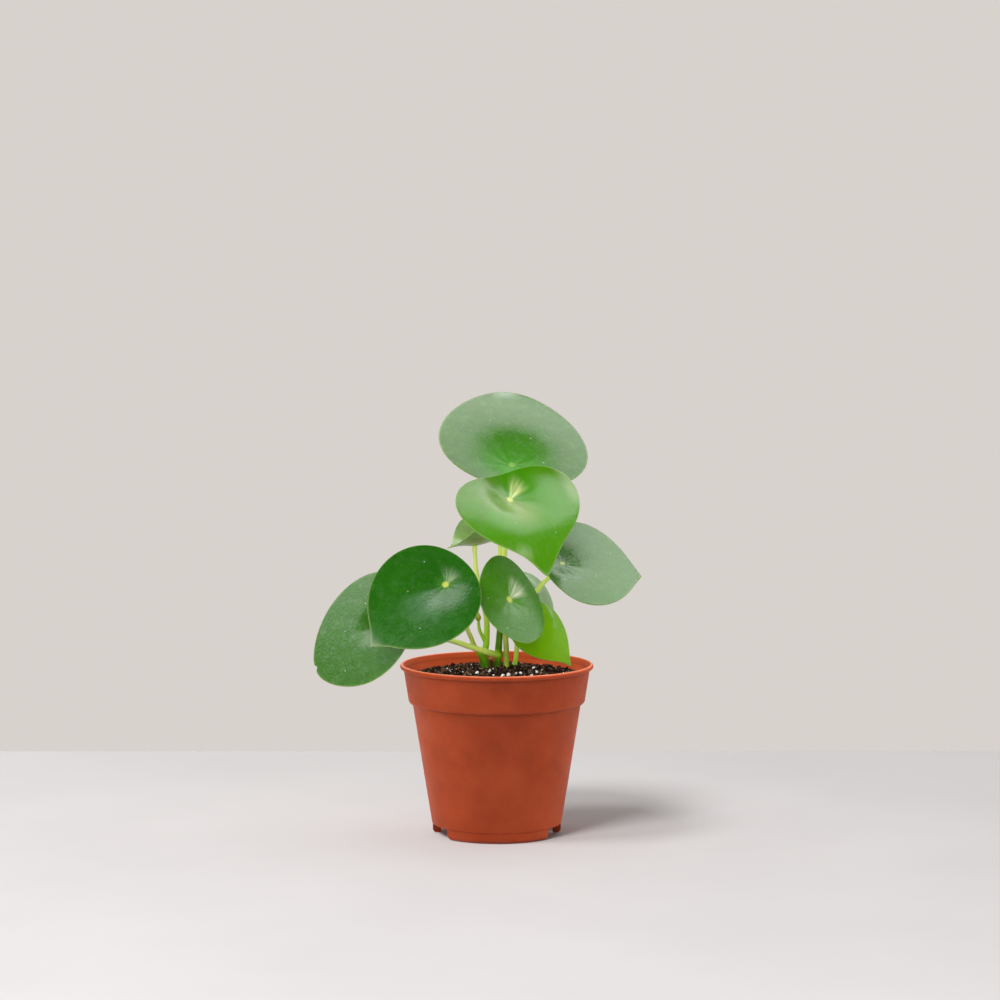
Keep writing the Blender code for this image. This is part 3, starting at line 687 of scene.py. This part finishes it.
# Middle leaf: half grown, hanging in front of the stems. A deeper green of shade and a pale fan
# of highlight are painted behind the joint.
blade("middle", leaf_flesh(
    "middle", "#42820A", "#4E9212", glow="#4F9208", tipward=-0.01, film=0.08, roughness=(0.24, 0.34),
    leather=0.3, painted_light=[(134, 70, 9, 20, 0.5, "#3F8A00", 0), (134, 46, 7, 11, 0.95, "#F4F8DC", 1)]),
      at=(7.7, -29.2, 149.4), turn=(-11, 63, -57), length=59, width=50, joint=0.48,
      droop=(0, 3, -1), tip=3, egg=-0.1, dip=(2.5, 9), wave=(3, 9), nose=ROUNDED)

# Right leaf: on the longest stalk at the right, with a pointed tip.
blade("right", leaf_flesh(
    "right", "#407424", "#508832", glow="#3F7A26", leather=0.3, film=0.1, spot="#C8D850", spot_reach=2.1),
      at=(41, 14, 167), turn=(35, 11, 10), length=64, width=78, joint=0.2, droop=(5, 4, -2),
      tip=7, egg=0, dip=(4, 13), wave=(-2.4, 72))

# Low right leaf: small, new and yellow-green, hanging over the rim.
blade("low_right", leaf_flesh("low_right", "#86C600", "#96D606", glow="#A8DC0C", thinness=0.9, film=0),
      at=(21, 4, 130), turn=(35, 40, -8), length=49, width=44, joint=0.26, droop=(9, 5, 3), egg=0.12,
      dip=(4, 9), wave=(1, -35))

# Back left leaf: the smallest open one, folded upwards, seen from its pale underside. Its pale
# colours are partly the underside's own and partly painted sheen.
blade("back_left", leaf_flesh("back_left", "#7C9E58", "#A8C484", thinness=0.9), at=(-14, 26, 178),
      turn=(-2, 3, -154), length=32, width=36, joint=0.41, droop=(1, -2, -10), tip=6, egg=0.13,
      dip=(2, 8), wave=(2.5, 64))

# Back right leaf: behind the stems, mostly hidden. Its pale grey-green is a painted reflection on
# its wax.
blade("back_right", leaf_flesh("back_right", "#96B888", "#B0CCA2"), at=(15, 30, 144),
      turn=(37, 48, -15), length=50, width=46, joint=0.36, droop=(10, 6, 7), tip=6, egg=0.12,
      dip=(4, 9))


# Stems: round, fleshy and smooth. They stand in the soil, thicken where stalks leave them, and go
# from dark green at the foot to pale yellow-green in the stalks, which widen into the blades.
UNDER_BLADE = 1.0
STEM_FOOT = 84
STEM_GRID = 0.34
MARKS_PER_SPAN = 8
AGE_BLEND = 0.6
POINTS_AT_ONCE = 4000
stem_skins = []


def buried(x, y, radius, age):
    """The upright foot of a stem, in the soil and a little above it."""
    return [(x, y, height, radius, age) for height in (STEM_FOOT, 90, 96, 101)]


def to_blade(leaf, radius, age, approach=7):
    """The end of a stalk, which comes up square to a blade's underside."""
    matrix = leaf_at[leaf]
    far = matrix @ Vector((0, 0, -approach))
    near = matrix @ Vector((0, 0, -UNDER_BLADE))
    return [(*far, radius, age), (*near, radius * 1.25, age)]


def shoot(shape, points):
    """Add a round shoot through points of (x, y, z, radius, age) to a bmesh."""
    curve = bpy.data.curves.new("shoot", "CURVE")
    curve.dimensions = "3D"
    curve.bevel_depth = 1
    curve.bevel_resolution = 4
    curve.resolution_u = 8
    curve.use_fill_caps = True
    spline = curve.splines.new("BEZIER")
    spline.bezier_points.add(len(points) - 1)
    for anchor, (x, y, z, radius, _) in zip(spline.bezier_points, points):
        anchor.co = (x, y, z)
        anchor.radius = radius
        anchor.handle_left_type = "AUTO"
        anchor.handle_right_type = "AUTO"
    thing = bpy.data.objects.new("shoot", curve)
    bpy.context.scene.collection.objects.link(thing)
    bpy.context.view_layer.update()
    mesh = bpy.data.meshes.new_from_object(thing.evaluated_get(bpy.context.evaluated_depsgraph_get()))
    shape.from_mesh(mesh)
    bpy.data.objects.remove(thing)


def grown(name, look, shoots, knots, replaces):
    """Grow shoots and knots into one skin, and mark every point with its age, 1 at the foot."""
    shape = bmesh.new()
    for points in shoots:
        shoot(shape, points)
    for x, y, z, radius in knots:
        bmesh.ops.create_icosphere(shape, subdivisions=3, radius=radius,
                                   matrix=Matrix.Translation((x, y, z)))
    bmesh.ops.remove_doubles(shape, verts=shape.verts, dist=0.001)
    bmesh.ops.recalc_face_normals(shape, faces=shape.faces)
    made = piece(name, shape, look)
    skin = made.modifiers.new("skin", "REMESH")
    skin.mode = "VOXEL"
    skin.voxel_size = STEM_GRID * MM
    even = made.modifiers.new("even", "SMOOTH")
    even.factor = 0.5
    even.iterations = 6
    apply_modifiers(made)
    marks = []
    for points in shoots:
        for start, end in zip(points, points[1:]):
            for step in range(MARKS_PER_SPAN + 1):
                share = step / MARKS_PER_SPAN
                marks.append([a + (b - a) * share for a, b in zip(start, end)])
    marks = np.array(marks)
    places = np.empty(len(made.data.vertices) * 3)
    made.data.vertices.foreach_get("co", places)
    places = places.reshape(-1, 3) / MM
    ages = np.empty(len(places))
    for first in range(0, len(places), POINTS_AT_ONCE):
        block = places[first:first + POINTS_AT_ONCE]
        apart = np.linalg.norm(block[:, None] - marks[None, :, :3], axis=2) - marks[None, :, 3]
        weight = np.exp(-apart / AGE_BLEND)
        ages[first:first + POINTS_AT_ONCE] = (weight * marks[None, :, 4]).sum(1) / weight.sum(1)
    made.data.attributes.new("age", "FLOAT", "POINT").data.foreach_set("value", ages.astype(np.float32))
    made.data.shade_smooth()
    made.data.materials.clear()
    made.data.materials.append(look)
    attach(made, "root")
    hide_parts(replaces)
    stem_skins.append(made)


# Stem skin: thin, moist and softly glossy over watery green flesh, with faint lengthwise streaks
# and small brown lenticels on the older parts.
SKIN_STREAK = (1.111, 1.111, 8.333)
LENTICEL_CELLS = 2.381
LENTICEL_RADIUS = 0.16
LENTICEL_SHARE = 0.86
LENTICEL_AGE = 0.24
stem_skin, tree, shader, place = new_material("stem_skin_green")
age = node(tree, "Attribute", attribute_name="age", output="Fac")
lengthwise = node(tree, "Mapping", {"Vector": place, "Scale": [per(size) for size in SKIN_STREAK]})
streak = node(tree, "TexNoise", {"Vector": lengthwise, "Scale": 1.0, "Detail": 3.0})
ripe = node(tree, "Math", {0: streak, 1: 0.3, 2: age}, operation="MULTIPLY_ADD")
ripe = node(tree, "MapRange", {"Value": ripe, "From Min": 0.15, "From Max": 1.15})
skin_greens = node(tree, "ValToRGB", {"Fac": ripe},
                   stops=[(0.1, "#D8E682"), (0.3, "#C4DC5C"), (0.55, "#A0D030"),
                          (0.8, "#689E16"), (1.0, "#3A680A")])
dots = node(tree, "TexVoronoi", {"Vector": place, "Scale": per(LENTICEL_CELLS)}).node.outputs
near_dot = node(tree, "Math", {0: dots["Distance"], 1: LENTICEL_RADIUS}, operation="LESS_THAN")
lottery = node(tree, "SeparateColor", {0: dots["Color"]})
drawn = node(tree, "Math", {0: lottery, 1: LENTICEL_SHARE}, operation="GREATER_THAN")
grown_up = node(tree, "Math", {0: age, 1: LENTICEL_AGE}, operation="GREATER_THAN")
cork_dot = node(tree, "Math", {0: near_dot, 1: drawn}, operation="MULTIPLY")
cork_dot = node(tree, "Math", {0: cork_dot, 1: grown_up}, operation="MULTIPLY")
skin_greens = node(tree, "MixRGB", {"Fac": cork_dot, "Color1": skin_greens, "Color2": "#6A5A22"})
bump = node(tree, "Bump", {"Height": streak, "Strength": 0.2, "Distance": 0.0004})
surface(shader, Base_Color=skin_greens, Roughness=0.36, Specular_IOR_Level=0.25, Normal=bump)
scattering(shader, 0.6, (0.6, 1, 0.2))

LEFT_STEM = (-7, 7, 2.8)
MAIN_STEM = (0.3, 4, 2.6)
MIDDLE_STALK = (5.8, 9.4, 1.8)
LOW_RIGHT_STALK = (11.2, 12, 1.6)
BUD_AT = (-11.4, 7, 131.6)

# Left stem: short and stout, with the stalks of the left front and back left leaves and the bud's.
grown("stem_left_skin", stem_skin, [
    [*buried(*LEFT_STEM, 0.95), (-7.6, 7, 106, 2.9, 0.9), (-9, 6.4, 111, 3, 0.8),
     (-10.4, 6, 113.6, 2.4, 0.6)],
    [(-9, 6.4, 110.5, 2.2, 0.65), (-7, 7.5, 115, 2.1, 0.55), (-6.4, 10, 122, 2, 0.45),
     (-6.3, 13, 130, 1.8, 0.4), (-8.2, 18, 141, 1.65, 0.2), (-12.5, 24, 159, 1.5, 0.1),
     *to_blade("back_left", 1.35, 0.1)],
    [(-7, 8.5, 117.5, 1.2, 0.55), (-9.2, 8, 122.4, 1.15, 0.55), (-10.8, 7.4, 126.3, 1.1, 0.5),
     (*BUD_AT, 1, 0.5)],
    [(-10, 6, 112, 1.8, 0.45), (-13.4, 2.6, 115.8, 1.6, 0.3), (-15.8, -4.5, 122.4, 1.5, 0.2),
     (-18.2, -12, 129, 1.45, 0.1), (-22, -23, 139.5, 1.4, 0.1), *to_blade("left_front", 1.4, 0.1)],
], [(-9.6, 6, 112, 3.3)], "stem_left")

# Main stem: the tallest, which carries the top, centre, left back, right and back right leaves.
grown("stem_main_skin", stem_skin, [
    [*buried(*MAIN_STEM, 1), (0.6, 4, 106, 2.4, 1), (1, 3.2, 113, 2.3, 0.95), (1.8, 3, 124, 2.1, 0.9),
     (3.2, 3, 142, 1.9, 0.6), (4.3, 2, 160, 1.8, 0.3), (4.9, 1, 177, 1.75, 0.15),
     (6, -4, 192, 1.6, 0.1), *to_blade("centre", 1.5, 0.1)],
    [(3.4, 3, 146, 1.6, 0.5), (2.6, 6.5, 160, 1.55, 0.3), (2.1, 9, 175, 1.55, 0.2),
     (3.8, 13, 192, 1.55, 0.2), (6.6, 20, 209, 1.55, 0.15), *to_blade("top", 1.6, 0.15, 9)],
    [(1, 3.2, 110.4, 2.2, 0.55), (-2.6, -1, 112.2, 2.1, 0.35), (-7.3, -3.6, 114, 2, 0.25),
     (-13.6, -4, 116, 1.9, 0.2), (-27.7, -3.5, 120.6, 1.7, 0.15), (-45, -1, 124, 1.6, 0.15),
     *to_blade("left_back", 1.5, 0.15)],
    [(2.1, 3, 127, 1.7, 0.6), (8, 11, 133, 1.65, 0.4), (15.7, 17, 140.3, 1.6, 0.3),
     (24.3, 19, 148.5, 1.55, 0.25), (31.7, 19, 156.7, 1.5, 0.2), *to_blade("right", 1.4, 0.2)],
    [(1.6, 3, 120, 1.3, 0.6), (2.5, 16, 122.5, 1.25, 0.4), (6, 30, 128, 1.2, 0.3),
     *to_blade("back_right", 1.2, 0.3)],
], [(1, 3.3, 111, 3), (2.1, 3, 126.5, 2.3)], "stem_main")

# Middle leaf's stalk: pale, from the soil in front of the main stem.
grown("stalk_middle_skin", stem_skin, [
    [*buried(*MIDDLE_STALK, 0.5), (6, 8, 107, 1.8, 0.35), (5.9, 2, 114.5, 1.8, 0.25),
     (5.5, -5, 122, 1.75, 0.2), (5.3, -13, 130.5, 1.65, 0.2), (5, -20, 138.5, 1.5, 0.2),
     *to_blade("middle", 1.4, 0.15)],
], [], "stalk_middle")

# Low right leaf's stalk: pale and short, from the soil at the right.
grown("stalk_low_right_skin", stem_skin, [
    [*buried(*LOW_RIGHT_STALK, 0.75), (11.8, 13, 106, 1.6, 0.45), (12.4, 13.3, 112, 1.55, 0.25),
     (12.8, 12.5, 117.5, 1.45, 0.2), *to_blade("low_right", 1.3, 0.2)],
], [], "stalk_low_right")


# Dried stub: what is left of a stalk that was shed, dark brown and cork-dry, with a tan rim on top
# where it broke off. It stands in the soil between the left stem and the main one.
STUB_FOOT = (-3, 0, 101)
STUB_TOP = (-3.6, 0, 109.7)
STUB_RADIUS = 1.15
CORK_FIBRES = 1.111
cork, tree, shader, place = new_material("dried_stalk_brown")
height = node(tree, "SeparateXYZ", {0: place}, output="Z")
fibre = node(tree, "TexNoise", {"Vector": place, "Scale": per(CORK_FIBRES), "Detail": 3.0})
top_highlight_and_wear = node(tree, "Math", {0: fibre, 1: MM, 2: height}, operation="MULTIPLY_ADD")
top_highlight_and_wear = node(tree, "MapRange",
            {"Value": top_highlight_and_wear, "From Min": (STUB_TOP[2] - 1.4) * MM, "From Max": (STUB_TOP[2] + 0.2) * MM})
browns = node(tree, "MixRGB", {"Fac": top_highlight_and_wear, "Color1": "#54361F", "Color2": "#D08C58"})
bump = node(tree, "Bump", {"Height": fibre, "Strength": 0.6, "Distance": 0.0005})
surface(shader, Base_Color=browns, Roughness=0.85, Normal=bump)

stub = bmesh.new()
shoot(stub, [(*(foot + (top - foot) * share for foot, top in zip(STUB_FOOT, STUB_TOP)), radius, 1)
             for share, radius in ((0, STUB_RADIUS), (0.5, 0.9 * STUB_RADIUS), (1, 1.1 * STUB_RADIUS))])
bmesh.ops.recalc_face_normals(stub, faces=stub.faces)
for vertex in stub.verts:
    vertex.co.xy += 0.15 * noise.noise_vector(0.9 * vertex.co).xy
dried_stub = piece("dried_stub", stub, cork)
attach(dried_stub, "root")


# Bud: a leaf that hasn't opened, rolled to a blunt point, olive below and lighter on top.
BUD_LENGTH = 7
BUD_RADIUS = 1.9
BUD_RINGS = 18
BUD_SINK = 0.5
BUD_SIDES = 36
BUD_LEAN = -4
BUD_FOLDS = 1.4286
bud_skin, tree, shader, place = new_material("bud_scale_olive")
height = node(tree, "SeparateXYZ", {0: place}, output="Z")
share = node(tree, "MapRange",
             {"Value": height, "From Min": (BUD_AT[2] + 1.9) * MM, "From Max": (BUD_AT[2] + 5.9) * MM})
tones = node(tree, "MixRGB", {"Fac": share, "Color1": "#9AA020", "Color2": "#CCD65E"})
folds = node(tree, "TexNoise", {"Vector": place, "Scale": per(BUD_FOLDS), "Detail": 3.0})
bump = node(tree, "Bump", {"Height": folds, "Strength": 0.4, "Distance": 0.0005})
surface(shader, Base_Color=tones, Roughness=0.42, Normal=bump)

bud_outline = [(0, 0)]
for ring in range(1, BUD_RINGS):
    share = ring / BUD_RINGS
    bud_outline.append((BUD_RADIUS * math.sin(math.pi * share ** 0.8), BUD_LENGTH * share))
bud_outline.append((0, BUD_LENGTH))
bud_shape = spun(bud_outline, BUD_SIDES)
for vertex in bud_shape.verts:
    around = math.atan2(vertex.co.y, vertex.co.x) + 0.3 * vertex.co.z
    vertex.co.xy *= 1 + 0.08 * math.cos(2 * around) - 0.05 * abs(math.sin(around))
tilted = Matrix.Translation(Vector(BUD_AT) - Vector((0, 0, BUD_SINK)))
bmesh.ops.transform(bud_shape, matrix=tilted @ Matrix.Rotation(math.radians(BUD_LEAN), 4, "Y"),
                    verts=bud_shape.verts)
bud_scale = piece("bud_scale", bud_shape, bud_skin)
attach(bud_scale, "root")
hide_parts("bud")


# Studio: a matt white table top before a pale wall, and a camera at the photograph's place and
# angle. A broad light hangs overhead, weak ones fill in from the front and the sides, and two on
# the left throw the pot's shadow on the table. Each light reaches only the pieces it is set for.
TABLE_CLOUDS = 166.7
TABLE_BACK = 307
TABLE_HALF = 3000
TABLE_DROP = 0.2
paint, tree, shader, place = new_material("table_top_matt_white")
cloud = node(tree, "TexNoise", {"Vector": place, "Scale": per(TABLE_CLOUDS), "Detail": 4.0})
pale = node(tree, "ValToRGB", {"Fac": cloud}, stops=[(0.3, "#CBC8C8"), (0.7, "#D0CDCD")])
surface(shader, Base_Color=pale, Roughness=0.8)

table = bmesh.new()
bmesh.ops.create_grid(table, x_segments=1, y_segments=1, size=TABLE_HALF)
bmesh.ops.translate(table, vec=(0, TABLE_BACK - TABLE_HALF, -TABLE_DROP), verts=table.verts)
table_top = piece("table_top", table, paint)

world = bpy.data.worlds.new("studio")
bpy.context.scene.world = world
world.use_nodes = True
tree = world.node_tree
tree.nodes.clear()
across = node(tree, "TexCoord")
sides = node(tree, "SeparateXYZ", {0: across}).node.outputs
wall_light = node(tree, "MapRange", {"Value": sides["Y"], "From Min": -0.3, "From Max": 0.5,
                                     "To Min": 0.04, "To Max": 0.45})
room = node(tree, "Background", {"Color": "#EFE9E4", "Strength": wall_light})
wall = node(tree, "Background", {"Color": "#D8D2CD", "Strength": 1.0})
seen = node(tree, "LightPath")
either = node(tree, "MixShader", {0: seen, 1: room, 2: wall})
node(tree, "OutputWorld", {0: either})


POT_MIDDLE = (0, 0, 0.1)
TABLE_MIDDLE = (0, 0, 0.05)


def chosen(name, things, state="INCLUDE"):
    """A collection that names the pieces a light reaches, or with EXCLUDE those it leaves out."""
    group = bpy.data.collections.new(name)
    for thing in things:
        group.objects.link(thing)
    for entry in group.collection_objects:
        entry.light_linking.link_state = state
    return group


def softbox(name, at, size, radiance, lit, towards=POT_MIDDLE, shade=None, mirrored=False, shadow=True):
    """An evenly bright area light, in metres, for the pieces of a collection.

    shade holds the pieces that may shadow it, all where it is left out. A mirrored one is seen in
    glossy surfaces.
    """
    light = bpy.data.lights.new(name, "AREA")
    light.shape = "RECTANGLE"
    light.size, light.size_y = size
    light.energy = radiance * math.pi * size[0] * size[1]
    light.use_shadow = shadow
    thing = bpy.data.objects.new(name, light)
    thing.location = at
    thing.rotation_euler = (Vector(towards) - Vector(at)).to_track_quat("-Z", "Y").to_euler()
    thing.visible_glossy = mirrored
    thing.light_linking.receiver_collection = lit
    thing.light_linking.blocker_collection = shade
    bpy.context.scene.collection.objects.link(thing)


off_table = chosen("all_but_table", [table_top], "EXCLUDE")
on_table = chosen("table_alone", [table_top])
on_plant = chosen("plant_alone", [table_top, pot_shell], "EXCLUDE")
on_pot = chosen("pot_alone", [pot_shell])
on_soil = chosen("soil_alone", [soil_bed, soil_crumbs, bark_chips, perlite_grains, dried_stub])
on_stems = chosen("stems_alone", [*stem_skins, bud_scale])
shade = chosen("shade_of_the_pot", [pot_shell])
softbox("overhead", (-0.05, 0.5, 1.3), (3.3, 1.18), 2.4, off_table, (-0.05, 0.5, 0), mirrored=True)
softbox("front_fill", (-0.3, -1.6, 1), (2, 1.5), 2.7, on_plant, (0, 0, 0.15))
softbox("pot_fill", (-0.1, -0.8, 1.2), (0.9, 0.6), 6, on_pot, shade=shade)
softbox("rim_light", (-0.05, -0.35, 1.3), (0.5, 0.4), 15, on_pot, shade=shade)
softbox("pot_left", (-1.4, -0.3, 0.4), (0.8, 0.7), 3.6, on_pot, shade=shade)
softbox("pot_right", (1.4, -0.3, 0.4), (0.8, 0.7), 2.2, on_pot, shade=shade)
softbox("soil_fill", (-0.1, -0.8, 1.2), (0.9, 0.6), 4.5, on_soil, shade=shade)
softbox("stem_fill", (-0.2, -1.5, 0.5), (1.2, 1), 3, on_stems, (0, 0, 0.12), shade)
softbox("left_fill", (-1.5, -0.3, 0.35), (0.8, 0.7), 2.4, off_table)
softbox("right_fill", (1.5, -0.3, 0.35), (0.8, 0.7), 2.4, off_table)
softbox("table_key", (-1.35, -2.2, 2.3), (1, 1), 28, on_table, TABLE_MIDDLE, shade, mirrored=True)
softbox("table_side_key", (-1.5, -0.7, 2.3), (0.8, 0.8), 15, on_table, TABLE_MIDDLE, shade, mirrored=True)
softbox("table_fill", (0, 0, 3), (4, 4), 0.75, on_table, (0, 0, 0), mirrored=True, shadow=False)

FOCAL_LENGTH = 115.2
SENSOR_WIDTH = 36
CAMERA_AT = (0.002, -1.9713, 0.3786)
CAMERA_DIP = 4.95
camera_lens = bpy.data.cameras.new("camera")
camera_lens.lens = FOCAL_LENGTH
camera_lens.sensor_width = SENSOR_WIDTH
camera = bpy.data.objects.new("camera", camera_lens)
camera.location = CAMERA_AT
camera.rotation_euler = (math.radians(90 - CAMERA_DIP), 0, 0)
bpy.context.scene.collection.objects.link(camera)
bpy.context.scene.camera = camera
bpy.context.scene.view_settings.view_transform = "Standard"
